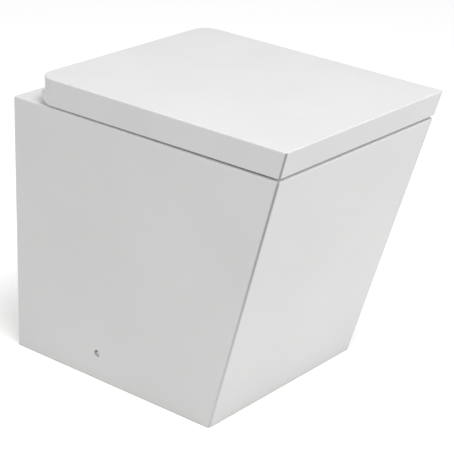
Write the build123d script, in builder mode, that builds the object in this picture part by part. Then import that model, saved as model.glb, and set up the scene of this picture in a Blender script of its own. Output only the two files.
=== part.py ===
from build123d import *
import os
from math import pi, sin

# Back-to-wall toilet, millimetres. The origin is on the floor, under the middle of the overall box.
# +Z is up, +X is to the right of someone who faces the pan, and +Y points at the wall.

os.makedirs("parts", exist_ok=True)

# Overall form: a block whose front leans out and whose sides spread a little towards the top
depth = 480
base_depth = 370
rim_width = 370
base_width = 343
rim_height = 400
lid_top = 442
wall_y = depth / 2

# Pan casting
skirt_wall = 11
corner_radius = 3.5
rim_radius = 3.5
deck_thickness = 15
cavity_corner = 12
back_flange = 14
back_flange_depth = 12
back_opening_height = 370

# Bowl and rim
opening_width = 244
opening_front = -184
opening_back = 86
opening_corner = 88
opening_edge_radius = 6
lip_thickness = 10
lip_depth = 30
channel_width = 18
front_channel = 16
bowl_wall = 10
sump_floor = 80
sump_width = 64
sump_front = -26
sump_back = 36
sump_corner = 22
bowl_stations = 7

# Trapway and outlet
passage_radius = 26
trap_wall = 9
outlet_height = 182
outlet_radius = 51
outlet_wall = 8
outlet_end = wall_y - 50
outlet_length = 48

# Flush inlet
inlet_height = 338
inlet_socket_radius = 27.5
inlet_wall = 10
inlet_end = wall_y - 48
inlet_socket_depth = 34
duct_radius = 23
duct_width = 60
duct_height = 20
duct_mouth_height = 368
seal_bore_radius = 22.25
seal_inner_radius = 24
seal_flange_radius = 33.5
seal_lip = 3
collar_length = 18

# Seat hinge
fixing_spacing = 155
fixing_y = 147
fixing_hole_radius = 8
pivot_y = 183
pivot_z = 426
pin_radius = 4
fit = 0.05
arm_width = 13
arm_plate_radius = 19
arm_plate_thickness = 4
gasket_thickness = 1.5
column_depth = 13
neck_reach = 15
neck_drop = 5.5
bolt_head_radius = 6.8
bolt_length = 55
sleeve_flange = 2
sleeve_flange_radius = 13
washer_radius = 14
washer_thickness = 1.5
nut_radius = 8
nut_height = 9
nut_span = 20
pin_in_damper = 7
knuckle_radius = 7.5
bush_radius = 6
knuckle_length = 13.5
knuckle_gap = 0.5
damper_length = 34
damper_radius = 5.9

# Seat
seat_underside = 406
seat_thickness = 20
seat_half_width = 177.5
seat_front = -221
seat_back = 153
seat_corner = 12
seat_hole_width = 222
seat_hole_front = -172
seat_hole_back = 76
seat_hole_corner = 84
buffer_radius = 8

# Lid
lid_wall = 6
lid_plate = 7
lid_edge_radius = 1.8
lid_corner_radius = 3
lid_ledge = 45
lid_back_corner = 27
lid_back_wall = 3.5
shelf_z = 424
cheek_width = 18
cheek_back = 186
cheek_foot = 169
cheek_arc_top = 418.5
cheek_shoulder = 5
gap_back = 2.2
gap_front = 3.5

# Floor fixing
side_hole_y = 81
side_hole_z = 42
side_hole_radius = 5.4
side_hole_depth = 9
side_bore_radius = 3.4
boss_radius = 16
boss_face = 157
bracket_thickness = 7
bracket_length = 40
bracket_height = 62
bracket_foot = 52
bracket_corner = 10
gusset_thickness = 5
screw_radius = 2.4
screw_head = 1.8
screw_head_radius = 4.2
cap_recess = 3
cap_thickness = 2
cap_gap = 0.6
floor_screw_radius = 4
floor_screw_x = 125

# Worked-out places
deck_underside = rim_height - deck_thickness
seat_top = seat_underside + seat_thickness
lid_underside = lid_top - lid_plate
lid_back = wall_y - lid_ledge
arm_x = fixing_spacing / 2
arm_inner = arm_x - arm_width / 2
arm_outer = arm_x + arm_width / 2
socket_back = inlet_end - inlet_socket_depth
reach = 300
names = {-1: "left", 1: "right"}


def half_width(z):
    """Half the width of the outer form at height z."""
    return (base_width + (rim_width - base_width) * z / rim_height) / 2


def front_y(z):
    """The front face of the outer form at height z."""
    return wall_y - base_depth - (depth - base_depth) * z / lid_top


screw_seat = half_width(side_hole_z) - side_hole_depth


def between(low, high, share):
    """The value at a share of the way from low to high."""
    return low + (high - low) * share


def wedge(low, high, side_inset=0.0, front_inset=0.0, back=wall_y, corner=0.0):
    """The outer form between two heights, drawn in from its sides and front."""
    foot, head = half_width(low) - side_inset, half_width(high) - side_inset
    with BuildPart() as form:
        with BuildSketch(Plane.YZ):
            with BuildLine():
                Polyline(
                    (front_y(low) + front_inset, low),
                    (back, low),
                    (back, high),
                    (front_y(high) + front_inset, high),
                    close=True,
                )
            make_face()
        extrude(amount=reach, both=True)
        with BuildSketch(Plane.XZ):
            with BuildLine():
                Polyline((-foot, low), (foot, low), (head, high), (-head, high), close=True)
            make_face()
        extrude(amount=reach, both=True, mode=Mode.INTERSECT)
        if corner:
            fillet(upright(form.edges()) + upright(form.edges(), back=True), corner)
    return form.part


def block(low, high, mode=Mode.ADD):
    """A box from its lowest to its highest corner."""
    with Locations(tuple((a + b) / 2 for a, b in zip(low, high))):
        Box(*[b - a for a, b in zip(low, high)], mode=mode)


def rod(radius, x_span, y=pivot_y, z=pivot_z, mode=Mode.ADD):
    """A cylinder along X, by default on the hinge axis."""
    with Locations((sum(x_span) / 2, y, z)):
        Cylinder(radius, x_span[1] - x_span[0], rotation=(0, 90, 0), mode=mode)


def cone_along_y(y_from, radius_from, y_to, radius_to, z, mode=Mode.ADD):
    """A cone or cylinder along Y at height z."""
    sections = []
    for y, radius in ((y_from, radius_from), (y_to, radius_to)):
        with BuildSketch(Plane.XZ.offset(-y)) as section:
            with Locations((0, z)):
                Circle(radius)
        sections.append(section.sketch)
    loft(sections, ruled=True, mode=mode)


def span(side, near, far):
    """The lower and upper x of a stretch that runs from near to far on one side of the middle."""
    return min(side * near, side * far), max(side * near, side * far)


def upright(edges, back=False):
    """The edges that run up the form at its front corners, or at its back corners."""
    return [e for e in edges if abs((e % 0.5).Z) > 0.5 and (e.center().Y > 0) == back]


def save(piece, name):
    """Names a finished piece and writes its file."""
    piece.label = name
    export_step(piece, f"parts/{name}.step")


# Forms of the pan


def bowl(grow, top, mode=Mode.ADD):
    """The bowl as a lofted form, grown by a wall thickness: steep at the back, hollowed at the front."""
    sections = []
    for number in range(bowl_stations):
        share = number / (bowl_stations - 1)
        swell = sin(pi / 2 * share) ** 1.2
        half = between(sump_width / 2, opening_width / 2 + lip_thickness + channel_width, swell)
        front = between(sump_front, opening_front - lip_thickness - front_channel, swell)
        back = between(sump_back, opening_back + lip_thickness + channel_width, share**1.5)
        corner = between(sump_corner, opening_corner + lip_thickness, swell)
        with BuildSketch(Plane.XY.offset(between(sump_floor - grow, top, share))) as section:
            with Locations((0, (front + back) / 2)):
                RectangleRounded(2 * (half + grow), back - front + 2 * grow, corner + grow)
        sections.append(section.sketch)
    loft(sections, mode=mode)


def trapway(radius, start_y, mode=Mode.ADD):
    """A tube that dips out of the sump, climbs over the weir and falls to the outlet."""
    with BuildLine(Plane.YZ) as route:
        FilletPolyline(
            (start_y, 102),
            (60, 100),
            (118, 208),
            (outlet_end - 18, outlet_height + 3),
            radius=(45, 40),
        )
    with BuildSketch(Plane(origin=route.line @ 0, z_dir=route.line % 0)) as section:
        Circle(radius)
    sweep(section.sketch, path=route.line, mode=mode)


def flush_duct(grow, y_mouth, y_back, mode=Mode.ADD):
    """The duct from the round inlet to the flat slot behind the rim."""
    with BuildSketch(Plane.XZ.offset(-y_mouth)) as slot:
        with Locations((0, duct_mouth_height)):
            RectangleRounded(duct_width + 2 * grow, duct_height + 2 * grow, duct_height / 2 + grow - 1)
    with BuildSketch(Plane.XZ.offset(-y_back)) as pipe:
        with Locations((0, inlet_height)):
            Circle(duct_radius + grow)
    loft([slot.sketch, pipe.sketch], ruled=True, mode=mode)


def opening(grow=0.0, mode=Mode.ADD):
    """The outline of the bowl's opening, grown outwards."""
    with Locations((0, (opening_front + opening_back) / 2)):
        RectangleRounded(
            opening_width + 2 * grow,
            opening_back - opening_front + 2 * grow,
            opening_corner + grow,
            mode=mode,
        )


# Pan: one casting, open underneath and at the back

flange_y = wall_y - back_flange_depth
pan_form = wedge(0, rim_height)
cavity_form = wedge(-1, deck_underside, skirt_wall, skirt_wall, flange_y, cavity_corner)

with BuildPart() as pan:
    add(pan_form)
    fillet(upright(pan.edges()), corner_radius)
    fillet(pan.faces().sort_by(Axis.Z)[-1].edges(), rim_radius)
    add(cavity_form, mode=Mode.SUBTRACT)
    back_half = half_width(0) - skirt_wall - back_flange
    block((-back_half, flange_y - cavity_corner, -1), (back_half, wall_y + 1, back_opening_height), Mode.SUBTRACT)

    bowl(bowl_wall, deck_underside + 1)
    trap_radius = passage_radius + trap_wall
    trapway(trap_radius, 20)
    spigot_start = outlet_end - outlet_length
    cone_along_y(spigot_start - 24, trap_radius, spigot_start, outlet_radius, outlet_height)
    cone_along_y(spigot_start, outlet_radius, outlet_end, outlet_radius, outlet_height)
    flush_duct(inlet_wall, 106, socket_back - 6)
    horn_radius = inlet_socket_radius + inlet_wall
    cone_along_y(socket_back - 8, horn_radius, inlet_end, horn_radius, inlet_height)

    bowl(0, deck_underside, mode=Mode.SUBTRACT)
    trapway(passage_radius, 0, mode=Mode.SUBTRACT)
    outlet_bore = outlet_radius - outlet_wall
    cone_along_y(spigot_start + 4, outlet_bore, outlet_end + 1, outlet_bore, outlet_height, Mode.SUBTRACT)
    flush_duct(0, 100, socket_back, mode=Mode.SUBTRACT)
    socket_radius = inlet_socket_radius
    cone_along_y(socket_back, socket_radius, inlet_end + 1, socket_radius, inlet_height, Mode.SUBTRACT)

    with BuildSketch(Plane.XY.offset(deck_underside)):
        opening()
    extrude(amount=deck_thickness, mode=Mode.SUBTRACT)
    fillet(pan.faces().sort_by(Axis.Z)[-1].inner_wires()[0].edges(), opening_edge_radius)
    with BuildSketch(Plane.XY.offset(deck_underside - lip_depth)):
        opening(lip_thickness)
        opening(mode=Mode.SUBTRACT)
    extrude(amount=lip_depth + 1)

    with Locations(Plane.XY.offset(rim_height)):
        with Locations((-arm_x, fixing_y), (arm_x, fixing_y)):
            Hole(fixing_hole_radius, depth=2 * deck_thickness)
    for side in names:
        mouth_x = half_width(side_hole_z)
        rod(boss_radius, span(side, boss_face, mouth_x - 3), side_hole_y, side_hole_z)
        with Locations(Plane(origin=(side * mouth_x, side_hole_y, side_hole_z), z_dir=(side, 0, 0))):
            CounterBoreHole(side_bore_radius, side_hole_radius, side_hole_depth, depth=40)
save(pan.part, "pan")

# Rubber ring in the inlet socket, with a collar outside it that grips the flush pipe

with BuildPart() as inlet_seal:
    seal_start = socket_back + 6
    collar_end = inlet_end + collar_length
    profile = (
        (seal_start, seal_inner_radius),
        (seal_start, inlet_socket_radius - 0.1),
        (inlet_end, inlet_socket_radius - 0.1),
        (inlet_end, seal_flange_radius),
        (inlet_end + seal_lip, seal_flange_radius),
        (inlet_end + 3 * seal_lip, inlet_socket_radius),
        (collar_end, inlet_socket_radius - 1),
        (collar_end, seal_bore_radius),
        (inlet_end + seal_lip + 1, seal_bore_radius),
        (inlet_end, seal_inner_radius),
    )
    with BuildSketch(Plane.YZ):
        with BuildLine():
            Polyline([(y, inlet_height + radius) for y, radius in profile], close=True)
        make_face()
    revolve(axis=Axis((0, 0, inlet_height), (0, 1, 0)))
save(inlet_seal.part, "inlet_seal")


# Hinge pieces that stand still


def hinge_arm(side):
    """A cranked arm: a round plate on the deck, a column and a neck that reaches back to the pin."""
    plate_z = rim_height + gasket_thickness
    plate_top = plate_z + arm_plate_thickness
    column_back = pivot_y - neck_reach
    column_front = column_back - column_depth
    neck_low = pivot_z - neck_drop
    x_span = span(side, arm_inner, arm_outer)
    with BuildPart() as arm:
        with BuildSketch(Plane.XY.offset(plate_z)):
            with Locations((side * arm_x, fixing_y)):
                Circle(arm_plate_radius)
        extrude(amount=arm_plate_thickness)
        with Locations(Plane(origin=(side * arm_x, fixing_y, plate_top))):
            CounterSinkHole(pin_radius + 0.2, bolt_head_radius + 0.3, depth=3 * arm_plate_thickness)
        with BuildSketch(Plane.YZ.offset(x_span[0])):
            with BuildLine():
                Polyline(
                    (column_front, plate_z),
                    (column_back, plate_z),
                    (column_back, neck_low),
                    (pivot_y, neck_low),
                    (pivot_y, pivot_z + knuckle_radius),
                    (column_front + column_depth / 2, pivot_z + knuckle_radius),
                    (column_front, pivot_z),
                    close=True,
                )
            make_face()
            with Locations((pivot_y, pivot_z)):
                Circle(knuckle_radius)
        extrude(amount=arm_width)
        rod(pin_radius + fit / 2, x_span, mode=Mode.SUBTRACT)
    return arm.part


def hinge_bolt(side):
    """A countersunk bolt that passes the arm, the deck and the nut."""
    head_top = rim_height + gasket_thickness + arm_plate_thickness
    head_side = bolt_head_radius - pin_radius
    tip = head_top - bolt_length
    with BuildPart() as bolt:
        with BuildSketch(Plane.XZ):
            with BuildLine():
                Polyline(
                    (0, head_top),
                    (bolt_head_radius, head_top),
                    (pin_radius, head_top - head_side),
                    (pin_radius, tip + 1),
                    (pin_radius - 1, tip),
                    (0, tip),
                    close=True,
                )
            make_face()
        revolve(axis=Axis.Z)
    return Pos(side * arm_x, fixing_y, 0) * bolt.part


def ring_on_bolt(side, outer, top, thickness):
    """A ring round the bolt, from its top face down."""
    with BuildSketch(Plane.XY.offset(top - thickness)) as ring:
        with Locations((side * arm_x, fixing_y)):
            Circle(outer)
            Circle(pin_radius + 0.2, mode=Mode.SUBTRACT)
    extrude(ring.sketch, amount=thickness)


def washer(side, outer, top, thickness):
    """A flat ring as a piece of its own."""
    with BuildPart() as ring:
        ring_on_bolt(side, outer, top, thickness)
    return ring.part


def deck_sleeve(side):
    """A rubber sleeve in the deck hole, with a flange under the deck."""
    with BuildPart() as sleeve:
        ring_on_bolt(side, fixing_hole_radius - 0.2, rim_height - 0.5, deck_thickness)
        ring_on_bolt(side, sleeve_flange_radius, deck_underside, sleeve_flange)
    return sleeve.part


def wing_nut(side):
    """A hub with two wings that lean outwards."""
    top = deck_underside - sleeve_flange - washer_thickness
    with BuildPart() as nut:
        with BuildSketch(Plane.XY.offset(top - nut_height)):
            Circle(nut_radius)
        extrude(amount=nut_height, taper=8)
        with BuildSketch(Plane.XZ):
            for way in (-1, 1):
                with BuildLine():
                    Polyline(
                        (way * (nut_radius - 3), top - 2),
                        (way * (nut_radius - 3), top - nut_height + 1),
                        (way * (nut_span - 3), top - 2 * nut_height + 1),
                        (way * nut_span, top - nut_height - 4),
                        (way * (nut_span - 3), top - nut_height + 1),
                        close=True,
                    )
                make_face()
        extrude(amount=1.5, both=True)
        with Locations(Plane.XY.offset(top)):
            Hole(pin_radius + fit / 2, depth=2 * nut_height)
    return Pos(side * arm_x, fixing_y, 0) * Rot(0, 0, 60) * nut.part


def hinge_pin(side):
    """A pin through both knuckles and the arm, with one end inside a soft-close cartridge."""
    inner_end, outer_end = knuckle_span("seat")[0], knuckle_span("lid")[1]
    if side > 0:
        inner_end -= pin_in_damper
    else:
        outer_end += pin_in_damper
    with BuildPart() as pin:
        rod(pin_radius, span(side, inner_end, outer_end))
        chamfer(pin.edges().filter_by(GeomType.CIRCLE), 0.6)
    return pin.part


def knuckle_span(kind):
    """How far out a knuckle starts and ends: the seat's is inside the arm, the lid's outside."""
    if kind == "seat":
        return arm_inner - knuckle_gap - knuckle_length, arm_inner - knuckle_gap
    return arm_outer + knuckle_gap, arm_outer + knuckle_gap + knuckle_length


# Floor fixing on each side


def floor_bracket(side):
    """An angle bracket with two gussets; the upright takes the side screw, the foot the floor screw."""
    upright_in = boss_face - bracket_thickness
    foot_in = boss_face - bracket_foot
    start = side_hole_y - bracket_length / 2
    with BuildPart() as bracket:
        with BuildSketch(Plane.XZ.offset(-start)):
            with BuildLine():
                Polyline(
                    (side * boss_face, 0),
                    (side * boss_face, bracket_height),
                    (side * upright_in, bracket_height),
                    (side * upright_in, bracket_thickness),
                    (side * foot_in, bracket_thickness),
                    (side * foot_in, 0),
                    close=True,
                )
            make_face()
        extrude(amount=-bracket_length)
        fillet(bracket.edges().filter_by(Axis.X).group_by(Axis.Z)[-1], bracket_corner)
        for rib in (start, start + bracket_length - gusset_thickness):
            with BuildSketch(Plane.XZ.offset(-rib)):
                with BuildLine():
                    Polyline(
                        (side * (upright_in + 1), bracket_thickness - 1),
                        (side * (upright_in + 1), bracket_height - 2 * bracket_corner),
                        (side * (foot_in + bracket_corner), bracket_thickness - 1),
                        close=True,
                    )
                make_face()
            extrude(amount=-gusset_thickness)
        with Locations(Plane(origin=(side * floor_screw_x, side_hole_y, bracket_thickness))):
            Hole(floor_screw_radius, depth=2 * bracket_thickness)
        with Locations(Plane(origin=(side * boss_face, side_hole_y, side_hole_z), z_dir=(side, 0, 0))):
            Hole(screw_radius + 0.1, depth=2 * bracket_thickness)
    return bracket.part


def side_rod(side, radius, near, far, mode=Mode.ADD):
    """A cylinder along X at the side fixing."""
    rod(radius, span(side, near, far), side_hole_y, side_hole_z, mode)


def outer_rim(piece, side):
    """The circle at the end of a piece that faces out of the side of the pan."""
    return piece.edges().filter_by(GeomType.CIRCLE).sort_by(Axis.X)[-1 if side > 0 else 0]


def side_sleeve(side):
    """A flanged plastic sleeve that keeps the screw off the glaze."""
    with BuildPart() as sleeve:
        side_rod(side, side_hole_radius - 0.1, screw_seat, screw_seat + sleeve_flange)
        side_rod(side, side_bore_radius - 0.1, boss_face, screw_seat + 1)
        side_rod(side, screw_radius + 0.1, boss_face - 1, screw_seat + 2 * sleeve_flange, Mode.SUBTRACT)
    return sleeve.part


def side_screw(side):
    """A pan-head screw from the sleeve into the bracket."""
    head = screw_seat + sleeve_flange
    with BuildPart() as screw:
        side_rod(side, screw_radius, boss_face - bracket_thickness - 6, head)
        side_rod(side, screw_head_radius, head, head + screw_head)
        fillet(outer_rim(screw, side), 1)
    return screw.part


def side_cap(side):
    """A cap that closes the hole a little below the glaze."""
    cap_face = half_width(side_hole_z) - cap_recess
    with BuildPart() as cap:
        side_rod(side, side_hole_radius - cap_gap, cap_face - cap_thickness, cap_face)
        fillet(outer_rim(cap, side), cap_thickness / 2)
    return cap.part


gasket_top = rim_height + gasket_thickness
for side, name in names.items():
    save(hinge_arm(side), f"hinge_arm_{name}")
    save(hinge_pin(side), f"hinge_pin_{name}")
    save(hinge_bolt(side), f"hinge_bolt_{name}")
    save(washer(side, arm_plate_radius - 0.5, gasket_top, gasket_thickness), f"hinge_gasket_{name}")
    save(deck_sleeve(side), f"deck_sleeve_{name}")
    save(washer(side, washer_radius, deck_underside - sleeve_flange, washer_thickness), f"clamp_washer_{name}")
    save(wing_nut(side), f"wing_nut_{name}")
    save(floor_bracket(side), f"floor_bracket_{name}")
    save(side_screw(side), f"side_screw_{name}")
    save(side_sleeve(side), f"side_sleeve_{name}")
    save(side_cap(side), f"side_cap_{name}")


# Bushes, cartridges and buffers that ride with the seat or the lid


def bush(side, kind):
    """A plain bush that turns on the pin."""
    x_span = span(side, *knuckle_span(kind))
    with BuildPart() as sleeve:
        rod(bush_radius, x_span)
        rod(pin_radius + fit, x_span, mode=Mode.SUBTRACT)
    return sleeve.part


def damper(side, kind):
    """A soft-close cartridge behind the bush; the pin's end turns inside it."""
    near, far = knuckle_span(kind)
    if kind == "seat":
        near, far = near - 0.2 - damper_length, near - 0.2
        mouth = (far - pin_in_damper - 1, far)
    else:
        near, far = far + 0.2, far + 0.2 + damper_length
        mouth = (near, near + pin_in_damper + 1)
    with BuildPart() as cartridge:
        rod(damper_radius, span(side, near, far))
        chamfer(cartridge.edges().filter_by(GeomType.CIRCLE), 0.5)
        rod(pin_radius + fit, span(side, *mouth), mode=Mode.SUBTRACT)
    return cartridge.part


def buffers(places, fixed_z, free_z):
    """Four soft feet, a little wider where they are fixed."""
    with BuildPart() as feet:
        with BuildSketch(Plane.XY.offset(fixed_z)):
            with Locations(places):
                Circle(buffer_radius)
        extrude(amount=free_z - fixed_z, taper=6)
    return feet.part


def knuckle_reach(side, kind):
    """The x span of a knuckle, long enough for its cartridge where it has one."""
    near, far = knuckle_span(kind)
    if kind == "seat" and side > 0:
        near -= damper_length + 1
    if kind == "lid" and side < 0:
        far += damper_length + 1
    return span(side, near, far)


# Seat: a flat ring with two knuckles

with BuildPart() as seat_ring:
    with BuildSketch(Plane.XY.offset(seat_underside)):
        with Locations((0, (seat_front + seat_back) / 2)):
            RectangleRounded(2 * seat_half_width, seat_back - seat_front, seat_corner)
    extrude(amount=seat_thickness)
    fillet(seat_ring.faces().sort_by(Axis.Z)[-1].edges(), 3)
    with BuildSketch(Plane.XY.offset(seat_underside)):
        with Locations((0, (seat_hole_front + seat_hole_back) / 2)):
            RectangleRounded(seat_hole_width, seat_hole_back - seat_hole_front, seat_hole_corner)
    extrude(amount=seat_thickness, mode=Mode.SUBTRACT)
    fillet(seat_ring.faces().sort_by(Axis.Z)[-1].inner_wires()[0].edges(), 8)
    fillet(seat_ring.faces().sort_by(Axis.Z)[0].edges(), 2)
    for side in names:
        x_span = knuckle_reach(side, "seat")
        rod(knuckle_radius, x_span)
        web_low = (x_span[0], seat_back - 6, pivot_z - knuckle_radius)
        block(web_low, (x_span[1], pivot_y, pivot_z - knuckle_radius / 2))
        rod(bush_radius + fit / 2, x_span, mode=Mode.SUBTRACT)
save(seat_ring.part, "seat_ring")

buffer_x = (seat_half_width + seat_hole_width / 2) / 2
seat_foot_places = [(x, y) for x in (-buffer_x, buffer_x) for y in (-150, 100)]
lid_foot_places = [(x, y) for x in (-buffer_x, buffer_x) for y in (-185, 120)]
save(buffers(seat_foot_places, seat_underside, rim_height), "seat_buffers")
save(buffers(lid_foot_places, lid_underside, seat_top), "lid_buffers")
save(damper(1, "seat"), "seat_damper")
save(damper(-1, "lid"), "lid_damper")
for side, name in names.items():
    save(bush(side, "seat"), f"seat_bush_{name}")
    save(bush(side, "lid"), f"lid_bush_{name}")


# Lid: a plate with deep sides, rounded at the back so that it clears the deck as it turns

tray_back = cheek_foot - 1
skirt_form = wedge(rim_height - 1, shelf_z)
slab_form = wedge(shelf_z, lid_top, back=lid_back)
tray_form = wedge(rim_height - 2, lid_underside, lid_wall, lid_wall, tray_back, 4)

with BuildPart() as lid_skirt:
    add(skirt_form)
    foot = (cheek_foot, rim_height + gap_back)
    heel = (cheek_back, cheek_arc_top)
    shoulder = (cheek_back - cheek_shoulder, shelf_z)
    slope = (gap_front - gap_back) / (cheek_foot - front_y(rim_height))
    toe = (-reach, rim_height + gap_back + slope * (cheek_foot + reach))
    with BuildSketch(Plane.YZ):
        with BuildLine():
            TangentArc(foot, heel, tangent=(1, 0))
            TangentArc(heel, shoulder, tangent=(0, 1))
            Polyline(shoulder, (-reach, shelf_z), toe, foot)
        make_face()
    extrude(amount=reach, both=True, mode=Mode.INTERSECT)

with BuildPart() as lid:
    add(slab_form)
    fillet(upright(lid.edges(), back=True), lid_back_corner)
    add(lid_skirt.part)
    fillet(upright(lid.edges()), lid_corner_radius)
    fillet(lid.faces().sort_by(Axis.Z)[-1].edges(), lid_edge_radius)

    add(tray_form, mode=Mode.SUBTRACT)
    bay_half = half_width(rim_height) - cheek_width
    bay_front = tray_back - 20
    bay_back = lid_back - lid_back_wall
    with BuildSketch(Plane.XY.offset(rim_height - 2)) as bay:
        with Locations((0, (bay_front + bay_back) / 2)):
            Rectangle(2 * bay_half, bay_back - bay_front)
        fillet(bay.vertices().group_by(Axis.Y)[-1], 10)
    extrude(amount=lid_underside - rim_height + 2, mode=Mode.SUBTRACT)
    for side in names:
        notch = span(side, arm_inner - 1, arm_outer + 1)
        block((notch[0], pivot_y, rim_height), (notch[1], lid_back + 1, lid_underside), Mode.SUBTRACT)
        x_span = knuckle_reach(side, "lid")
        rod(knuckle_radius, x_span)
        web_low = (x_span[0], pivot_y - knuckle_radius, pivot_z)
        block(web_low, (x_span[1], pivot_y + knuckle_radius, lid_underside + 1))
        rod(bush_radius + fit / 2, x_span, mode=Mode.SUBTRACT)
save(lid.part, "lid")
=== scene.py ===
import bpy
from mathutils import Matrix, Vector

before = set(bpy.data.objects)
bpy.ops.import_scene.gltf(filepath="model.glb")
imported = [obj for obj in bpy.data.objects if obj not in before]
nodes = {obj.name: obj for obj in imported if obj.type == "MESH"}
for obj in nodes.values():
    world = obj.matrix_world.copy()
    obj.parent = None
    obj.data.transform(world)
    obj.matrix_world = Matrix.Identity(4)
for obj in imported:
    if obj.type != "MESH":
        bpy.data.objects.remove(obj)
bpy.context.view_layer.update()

# All lengths are in metres. The outer form of pan and lid, as the solids have it:
BASE_HALF, RIM_HALF, RIM_Z = 0.1715, 0.185, 0.400
FRONT_FOOT, FRONT_TOP, LID_TOP = -0.130, -0.240, 0.442
SIDE_HOLE_Y, SIDE_HOLE_Z = 0.081, 0.042

# The grey line on the upright front corner is painted shade: how much the distances along x and y count,
# over which distance the line fades on pan and lid, its colour, its strength from foot to rim, and its
# strength on the lid
SIDE_WEIGHT, FRONT_WEIGHT = 0.72, 1.35
PAN_SHADE_BAND, LID_SHADE_BAND = (0.0014, 0.0040), (0.0012, 0.0036)
CORNER_SHADE_COLOR = (0.34, 0.34, 0.34)
PAN_SHADE_SHARE, LID_SHADE_SHARE = (0.30, 1.0), 0.95

# Where the clay is bare: behind the skin, in the spaces below, behind and beside the bowl, as far up as the
# deck, and on the foot. Each pair is the band over which the glaze ends.
BEHIND_SKIN = (0.0035, 0.0085)
BELOW_BOWL, BEHIND_BOWL, BESIDE_BOWL = (0.070, 0.074), (0.118, 0.124), (0.1585, 0.1605)
DECK_BAND, FOOT_BAND = (0.3845, 0.3860), (0.0004, 0.0022)

# Painted shadow round the side cap, under the hole's lip: how far the ring sits below the cap's middle, and
# the radii over which it sets in
SHADOW_SHIFT, SHADOW_BAND = 0.7, (0.0022, 0.0048)

# Colours, each from its darkest to its lightest part
GLAZE, GLAZE_SPECK = ((0.80, 0.80, 0.795), (0.82, 0.82, 0.815)), (0.66, 0.65, 0.63)
CLAY = (0.62, 0.58, 0.51), (0.72, 0.69, 0.63)
LID_WHITE = (0.80, 0.80, 0.80), (0.82, 0.82, 0.82)
# The near-black colour is the painted shadow round the side cap
CAP_WHITE, CAP_SHADOW = ((0.80, 0.80, 0.79), (0.83, 0.83, 0.82)), (0.06, 0.06, 0.06)
NYLON_WHITE = (0.66, 0.65, 0.60), (0.72, 0.71, 0.66)
BRACKET_GREY = (0.55, 0.55, 0.54), (0.60, 0.60, 0.59)
BEARING_BLACK = (0.05, 0.05, 0.055), (0.07, 0.07, 0.075)
CARTRIDGE_BLACK = (0.08, 0.08, 0.09), (0.11, 0.11, 0.12)
CHROME = (0.74, 0.74, 0.76), (0.84, 0.84, 0.85)
STEEL = (0.42, 0.42, 0.43), (0.60, 0.60, 0.61)
GASKET_GREY = (0.08, 0.08, 0.085), (0.12, 0.12, 0.125)
SEAL_BLACK = (0.012, 0.012, 0.012), (0.03, 0.03, 0.03)
BUFFER_GREY = (0.60, 0.60, 0.58), (0.68, 0.68, 0.66)

CERAMIC_IOR, PLASTIC_IOR = 1.52, 1.5

FLOOR_SIZE, FLOOR_DROP = 40.0, 0.0002
FLOOR_COLOR, FLOOR_ROUGHNESS, FLOOR_LIFT = (0.80, 0.80, 0.80), 0.9, 0.42
WORLD_LEVEL = 0.475

# The camera, as fitted to the edges in the photo
LENS, SENSOR, SHIFT = 134.39, 36.0, (0.0100, -0.0016)
CAMERA_PLACE = (-1.81891, -1.39014, 1.16748)
CAMERA_RIGHT = (0.622522, -0.780861, 0.052177)
CAMERA_UP = (0.270363, 0.277149, 0.922004)
CAMERA_REACH = 100.0


# Shader building


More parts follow.
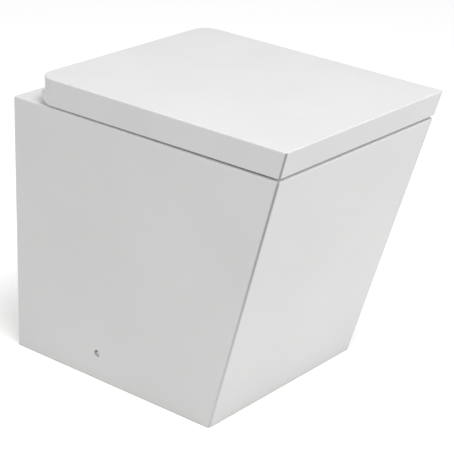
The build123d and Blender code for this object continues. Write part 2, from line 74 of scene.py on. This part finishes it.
class Tree:
    """A material's nodes, with short calls for the sums that its masks need."""

    def __init__(self, name):
        self.material = bpy.data.materials.new(name)
        self.material.use_nodes = True
        self.tree = self.material.node_tree
        self.tree.nodes.clear()
        self.output = self.new("ShaderNodeOutputMaterial")
        coordinates = self.new("ShaderNodeTexCoord")
        self.place = coordinates.outputs["Object"]
        split = self.new("ShaderNodeSeparateXYZ")
        self.link(self.place, split.inputs[0])
        self.x, self.y, self.z = split.outputs

    def new(self, kind, **settings):
        made = self.tree.nodes.new(kind)
        for key, value in settings.items():
            setattr(made, key, value)
        return made

    def link(self, source, socket):
        self.tree.links.new(source, socket)

    def feed(self, socket, value):
        """Links a socket or sets a constant. A colour of three numbers gets its fourth."""
        if isinstance(value, bpy.types.NodeSocket):
            self.link(value, socket)
        elif isinstance(value, tuple):
            socket.default_value = (*value, 1.0)
        else:
            socket.default_value = value

    def sum(self, operation, a, b=0.0, c=0.0):
        made = self.new("ShaderNodeMath", operation=operation)
        for socket, value in zip(made.inputs, (a, b, c)):
            self.feed(socket, value)
        return made.outputs[0]

    def length(self, a, b):
        """The length of a flat vector."""
        squares = self.sum("MULTIPLY", a, a), self.sum("MULTIPLY", b, b)
        return self.sum("SQRT", self.sum("ADD", *squares))

    def ramp(self, value, low, high, to_low=0.0, to_high=1.0):
        made = self.new("ShaderNodeMapRange", interpolation_type="SMOOTHSTEP")
        for socket, given in zip(made.inputs, (value, low, high, to_low, to_high)):
            self.feed(socket, given)
        return made.outputs[0]

    def noise(self, scale, detail=3.0, roughness=0.5, stretch=None):
        made = self.new("ShaderNodeTexNoise")
        made.inputs["Scale"].default_value = scale
        made.inputs["Detail"].default_value = detail
        made.inputs["Roughness"].default_value = roughness
        place = self.place
        if stretch:
            mapping = self.new("ShaderNodeMapping")
            mapping.inputs["Scale"].default_value = stretch
            self.link(self.place, mapping.inputs[0])
            place = mapping.outputs[0]
        self.link(place, made.inputs["Vector"])
        return made.outputs["Fac"]

    def mix(self, share, first, second):
        made = self.new("ShaderNodeMix", data_type="RGBA")
        share_socket, first_socket, second_socket = made.inputs[0], made.inputs[6], made.inputs[7]
        self.feed(share_socket, share)
        self.feed(first_socket, first)
        self.feed(second_socket, second)
        return made.outputs[2]

    def bump(self, height, distance, strength=1.0, normal=None):
        made = self.new("ShaderNodeBump")
        made.inputs["Strength"].default_value = strength
        made.inputs["Distance"].default_value = distance
        self.link(height, made.inputs["Height"])
        if normal is not None:
            self.link(normal, made.inputs["Normal"])
        return made.outputs[0]

    def surface(self, color, roughness, normal=None, **constants):
        made = self.new("ShaderNodeBsdfPrincipled")
        self.feed(made.inputs["Base Color"], color)
        self.feed(made.inputs["Roughness"], roughness)
        if normal is not None:
            self.link(normal, made.inputs["Normal"])
        for key, value in constants.items():
            made.inputs[key.replace("_", " ")].default_value = value
        self.link(made.outputs[0], self.output.inputs["Surface"])
        return made


def depth_inside(tree):
    """How far a point lies inside the outer form's sides and front."""
    slope = (RIM_HALF - BASE_HALF) / RIM_Z
    half = tree.sum("MULTIPLY_ADD", tree.z, slope, BASE_HALF)
    side = tree.sum("SUBTRACT", half, tree.sum("ABSOLUTE", tree.x))
    front_slope = (FRONT_TOP - FRONT_FOOT) / LID_TOP
    front_y = tree.sum("MULTIPLY_ADD", tree.z, front_slope, FRONT_FOOT)
    return side, tree.sum("SUBTRACT", tree.y, front_y)


def from_corner(tree, side, front):
    """Distance from the upright front corner, counted less on the front than on the side."""
    return tree.length(tree.sum("MULTIPLY", side, SIDE_WEIGHT), tree.sum("MULTIPLY", front, FRONT_WEIGHT))


def from_side_hole(tree):
    """Distance from the axis of the side fixings."""
    return tree.length(tree.sum("SUBTRACT", tree.y, SIDE_HOLE_Y), tree.sum("SUBTRACT", tree.z, SIDE_HOLE_Z))


def bare_clay(t, side, front):
    """The share of bare clay: underneath, inside the skirt and on the foot."""
    within = t.ramp(t.sum("MINIMUM", side, front), *BEHIND_SKIN)
    low = t.ramp(t.z, *BELOW_BOWL, 1.0, 0.0)
    rear = t.ramp(t.y, *BEHIND_BOWL)
    flank = t.ramp(t.sum("ABSOLUTE", t.x), *BESIDE_BOWL)
    hidden = t.sum("MAXIMUM", t.sum("MAXIMUM", low, rear), flank)
    under_deck = t.ramp(t.z, *DECK_BAND, 1.0, 0.0)
    foot = t.ramp(t.z, *FOOT_BAND, 1.0, 0.0)
    inner = t.sum("MULTIPLY", t.sum("MULTIPLY", within, hidden), under_deck)
    return t.sum("MAXIMUM", inner, foot)


def glazed(name):
    """Vitreous china: glossy white glaze with painted shade, a grey line, on the front corners, and bare clay
    out of sight.
    """
    t = Tree(name)
    side, front = depth_inside(t)
    clouds = t.noise(scale=5.0, detail=2.0)
    specks = t.noise(scale=900.0, detail=1.0)
    white = t.mix(t.ramp(clouds, 0.35, 0.65), *GLAZE)
    white = t.mix(t.ramp(specks, 0.74, 0.80, to_low=0.0, to_high=0.10), white, GLAZE_SPECK)
    # Painted shade: a grey line along the upright front corner, stronger towards the rim
    off_shade = t.ramp(from_corner(t, side, front), *PAN_SHADE_BAND)
    strength = t.ramp(t.z, 0.0, RIM_Z, *PAN_SHADE_SHARE)
    line = t.sum("MULTIPLY", t.sum("SUBTRACT", 1.0, off_shade), strength)
    color = t.mix(line, white, CORNER_SHADE_COLOR)

    bare = bare_clay(t, side, front)
    clay = t.mix(t.ramp(t.noise(scale=38.0, detail=5.0), 0.35, 0.7), *CLAY)
    color = t.mix(bare, color, clay)

    shine = t.ramp(t.noise(scale=60.0, detail=2.0), 0.3, 0.7, to_low=0.10, to_high=0.15)
    clay_roughness = 0.55
    roughness = t.sum("MULTIPLY_ADD", bare, clay_roughness, shine)
    waves = t.bump(t.noise(scale=26.0, detail=2.0), distance=0.00035, strength=0.6)
    pores = t.bump(t.noise(scale=420.0, detail=2.0), distance=0.00004, strength=0.5, normal=waves)
    t.surface(color, roughness, pores, IOR=CERAMIC_IOR)
    return t.material


def moulded(name, low, high, roughness=(0.16, 0.24), grain=120.0, grain_depth=0.00004, painted_corner_shade=False):
    """Moulded plastic with slight flow clouds and a fine skin; on request, painted shade along the upright
    front corner.
    """
    t = Tree(name)
    color = t.mix(t.ramp(t.noise(scale=7.0, detail=2.0), 0.35, 0.65), low, high)
    # Painted shade: a grey line along the upright front corner of the lid
    if painted_corner_shade:
        side, front = depth_inside(t)
        line = t.ramp(from_corner(t, side, front), *LID_SHADE_BAND, to_low=LID_SHADE_SHARE, to_high=0.0)
        color = t.mix(line, color, CORNER_SHADE_COLOR)
    shine = t.ramp(t.noise(scale=80.0, detail=2.0), 0.3, 0.7, *roughness)
    skin = t.bump(t.noise(grain, detail=3.0), grain_depth, strength=0.6)
    waves = t.bump(t.noise(scale=14.0, detail=1.0), distance=0.0003, strength=0.35, normal=skin)
    t.surface(color, shine, waves, IOR=PLASTIC_IOR)
    return t.material


def capped(name):
    """The side cap: pale plastic with a painted shadow in the joint round its edge, most of it under the upper
    lip.
    """
    t = Tree(name)
    color = t.mix(t.ramp(t.noise(scale=60.0, detail=2.0), 0.35, 0.65), *CAP_WHITE)
    shift = t.sum("MULTIPLY", t.sum("SUBTRACT", t.z, SIDE_HOLE_Z), SHADOW_SHIFT)
    # Painted shadow: a dark ring round the cap, most of it under the hole's upper lip
    lip_shadow = t.ramp(t.sum("ADD", from_side_hole(t), shift), *SHADOW_BAND)
    color = t.mix(lip_shadow, color, CAP_SHADOW)
    roughness = t.ramp(lip_shadow, 0.0, 1.0, to_low=0.22, to_high=0.7)
    skin = t.bump(t.noise(scale=300.0, detail=3.0), distance=0.00004, strength=0.6)
    t.surface(color, roughness, skin, IOR=PLASTIC_IOR)
    return t.material


def metal(name, low, high, roughness, stretch, scale):
    """Metal with fine marks along one direction."""
    t = Tree(name)
    marks = t.noise(scale, detail=4.0, roughness=0.6, stretch=stretch)
    color = t.mix(marks, low, high)
    shine = t.ramp(marks, 0.3, 0.7, *roughness)
    t.surface(color, shine, t.bump(marks, distance=0.00003, strength=0.4), Metallic=1.0)
    return t.material


def soft_rubber(name, low, high):
    """Matt rubber with a fine bloom."""
    t = Tree(name)
    bloom = t.noise(scale=160.0, detail=4.0, roughness=0.6)
    color = t.mix(bloom, low, high)
    shine = t.ramp(bloom, 0.3, 0.7, to_low=0.55, to_high=0.75)
    t.surface(color, shine, t.bump(bloom, distance=0.00006, strength=0.6))
    return t.material


glaze = glazed("glaze")
lid_skin = moulded("lid_skin", *LID_WHITE, painted_corner_shade=True)
seat_skin = moulded("seat_skin", *LID_WHITE)
cap_skin = capped("cap_skin")
nylon = moulded("nylon", *NYLON_WHITE, roughness=(0.38, 0.5), grain=300.0, grain_depth=0.0001)
bracket_skin = moulded("bracket_skin", *BRACKET_GREY, roughness=(0.4, 0.55), grain=260.0, grain_depth=0.00012)
bearing = moulded("bearing", *BEARING_BLACK, roughness=(0.3, 0.4), grain=300.0, grain_depth=0.00005)
cartridge = moulded("cartridge", *CARTRIDGE_BLACK, roughness=(0.25, 0.4), grain=200.0, grain_depth=0.00005)
plating = metal("plating", *CHROME, roughness=(0.06, 0.14), stretch=(1.0, 1.0, 14.0), scale=220.0)
steel = metal("steel", *STEEL, roughness=(0.22, 0.38), stretch=(16.0, 1.0, 1.0), scale=260.0)
gasket = soft_rubber("gasket", *GASKET_GREY)
seal = soft_rubber("seal", *SEAL_BLACK)
buffer = soft_rubber("buffer", *BUFFER_GREY)

# The finish of each piece, by its name without the side it is on
FINISHES = {
    "pan": glaze,
    "lid": lid_skin,
    "seat_ring": seat_skin,
    "side_cap": cap_skin,
    "hinge_arm": plating,
    "hinge_pin": steel,
    "hinge_bolt": steel,
    "side_screw": steel,
    "hinge_gasket": gasket,
    "deck_sleeve": gasket,
    "inlet_seal": seal,
    "seat_buffers": buffer,
    "lid_buffers": buffer,
    "clamp_washer": nylon,
    "wing_nut": nylon,
    "side_sleeve": bracket_skin,
    "floor_bracket": bracket_skin,
    "seat_bush": bearing,
    "lid_bush": bearing,
    "seat_damper": cartridge,
    "lid_damper": cartridge,
}
for name, piece in nodes.items():
    kind = name.removesuffix("_left").removesuffix("_right")
    piece.data.materials.clear()
    piece.data.materials.append(FINISHES[kind])


# Floor and light


def floor_material():
    """A pale floor that camera, glossy and transmission rays see as white where nothing shades it."""
    t = Tree("floor")
    seen = t.new("ShaderNodeLightPath")
    shown = t.sum("MAXIMUM", seen.outputs["Is Camera Ray"], seen.outputs["Is Glossy Ray"])
    shown = t.sum("MAXIMUM", shown, seen.outputs["Is Transmission Ray"])
    base = t.surface(FLOOR_COLOR, FLOOR_ROUGHNESS)
    base.inputs["Specular IOR Level"].default_value = 0.0
    base.inputs["Emission Color"].default_value = (1.0, 1.0, 1.0, 1.0)
    t.link(t.sum("MULTIPLY", shown, FLOOR_LIFT), base.inputs["Emission Strength"])
    return t.material


def lamp(name, place, target, size, power):
    """A rectangular softbox that faces its target."""
    data = bpy.data.lights.new(name, "AREA")
    data.shape = "RECTANGLE"
    data.size, data.size_y = size
    data.energy = power
    piece = bpy.data.objects.new(name, data)
    bpy.context.scene.collection.objects.link(piece)
    piece.location = place
    piece.rotation_euler = (Vector(target) - Vector(place)).to_track_quat("-Z", "Y").to_euler()


bpy.ops.mesh.primitive_plane_add(size=FLOOR_SIZE, location=(0.0, 0.0, -FLOOR_DROP))
floor = bpy.context.object
floor.name = "floor"
floor.data.materials.append(floor_material())

# The world lights the part at a plain level, and the camera sees it as white
world = bpy.data.worlds.new("studio")
bpy.context.scene.world = world
world.use_nodes = True
world_tree = world.node_tree
background = world_tree.nodes["Background"]
background.inputs["Color"].default_value = (1.0, 1.0, 1.0, 1.0)
path = world_tree.nodes.new("ShaderNodeLightPath")
level = world_tree.nodes.new("ShaderNodeMapRange")
level.inputs["To Min"].default_value = WORLD_LEVEL
level.inputs["To Max"].default_value = 1.0
world_tree.links.new(path.outputs["Is Camera Ray"], level.inputs["Value"])
world_tree.links.new(level.outputs[0], background.inputs["Strength"])

lamp("key", place=(-0.62, -1.08, 3.30), target=(0.0, -0.05, 0.2), size=(1.4, 1.4), power=72.0)
lamp("low_right", place=(1.15, -1.25, 0.35), target=(0.15, -0.15, 0.1), size=(0.7, 0.7), power=2.6)


# Camera

camera_data = bpy.data.cameras.new("camera")
camera_data.sensor_width = SENSOR
camera_data.lens = LENS
camera_data.shift_x, camera_data.shift_y = SHIFT
camera_data.clip_end = CAMERA_REACH
camera = bpy.data.objects.new("camera", camera_data)
bpy.context.scene.collection.objects.link(camera)
right, up = Vector(CAMERA_RIGHT), Vector(CAMERA_UP)
turn = Matrix((right, up, right.cross(up))).transposed().to_4x4()
camera.matrix_world = Matrix.Translation(CAMERA_PLACE) @ turn
bpy.context.scene.camera = camera
bpy.context.scene.view_settings.view_transform = "Standard"
